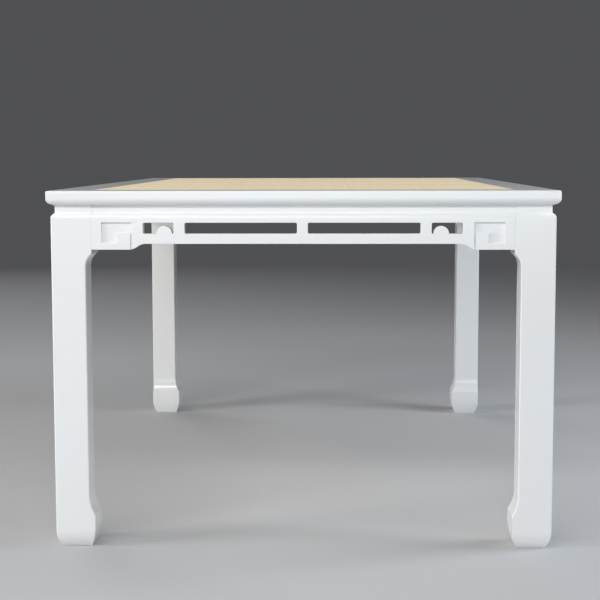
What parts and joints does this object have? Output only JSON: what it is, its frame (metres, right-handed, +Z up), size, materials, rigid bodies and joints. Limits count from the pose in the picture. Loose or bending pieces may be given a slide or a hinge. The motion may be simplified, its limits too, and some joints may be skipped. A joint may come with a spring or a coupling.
{
  "type": "extension dining table",
  "caption": "Rectangular lacquered dining table with raffia-inset top, recessed waist, pierced aprons and square legs on hoof feet; its halves slide apart on wooden runners for a leaf.",
  "frame": {"origin": "on the floor below the middle of the top, where the two halves meet", "axes": "+X across the table, +Y along it from the front end to the rear end, the way it extends, +Z up"},
  "size_m": [1.056, 1.674, 0.75],
  "materials": {
    "lacquer": "white lacquer over hardwood, satin gloss",
    "raffia": "woven raffia under clear lacquer",
    "core_board": "bare plywood",
    "maple": "bare hardwood, waxed on the slides",
    "birch": "bare turned birch",
    "steel": "zinc plated"
  },
  "bodies": {
    "front_half": {"front_apron_dowels": "birch", "front_cleats": "maple", "front_core_panel": "core_board", "front_corner_blocks": "maple", "front_end_apron": "lacquer", "front_end_rail": "lacquer", "front_end_waist": "lacquer", "front_lag_screws": "steel", "front_left_apron": "lacquer", "front_left_leg": "lacquer", "front_left_rail": "lacquer", "front_left_runner": "maple", "front_left_waist": "lacquer", "front_lock_screws": "steel", "front_mitre_splines": "birch", "front_outer_batten": "maple", "front_raffia": "raffia", "front_right_apron": "lacquer", "front_right_leg": "lacquer", "front_right_rail": "lacquer", "front_right_runner": "maple", "front_right_waist": "lacquer", "front_runner_screws": "steel", "front_runner_stops": "maple", "front_seam_batten": "maple", "lock_bases": "steel", "seam_pins": "birch"},
    "rear_half": {"rear_apron_dowels": "birch", "rear_cleats": "maple", "rear_core_panel": "core_board", "rear_corner_blocks": "maple", "rear_end_apron": "lacquer", "rear_end_rail": "lacquer", "rear_end_waist": "lacquer", "rear_lag_screws": "steel", "rear_left_apron": "lacquer", "rear_left_leg": "lacquer", "rear_left_rail": "lacquer", "rear_left_runner": "maple", "rear_left_waist": "lacquer", "rear_lock_screws": "steel", "rear_mitre_splines": "birch", "rear_outer_batten": "maple", "rear_raffia": "raffia", "rear_right_apron": "lacquer", "rear_right_leg": "lacquer", "rear_right_rail": "lacquer", "rear_right_runner": "maple", "rear_right_waist": "lacquer", "rear_runner_screws": "steel", "rear_runner_stops": "maple", "rear_seam_batten": "maple", "lock_keepers": "steel"},
    "middle_slide": {"left_middle_runner": "maple", "right_middle_runner": "maple", "middle_tie": "maple", "tie_screws": "steel"},
    "left_lock": {"left_lock_lever": "steel"},
    "right_lock": {"right_lock_lever": "steel"}
  },
  "joints": [
    {"name": "extension", "type": "slide", "parent": "front_half", "child": "rear_half", "axis": [0, 1, 0], "range_m": [0, 0.914]},
    {"name": "middle_runner_slide", "type": "slide", "parent": "front_half", "child": "middle_slide", "axis": [0, 1, 0], "range_m": [0, 0.457]},
    {"name": "left_lock_swing", "type": "hinge", "parent": "front_half", "child": "left_lock", "pos_m": [-0.38, -0.0293, 0.7047], "axis": [0, 0, 1], "range_deg": [0, 60]},
    {"name": "right_lock_swing", "type": "hinge", "parent": "front_half", "child": "right_lock", "pos_m": [0.38, -0.0293, 0.7047], "axis": [0, 0, -1], "range_deg": [0, 60]}
  ],
  "couplings": [
    {"joint": "middle_runner_slide", "follows": "extension", "ratio": 0.5}
  ]
}
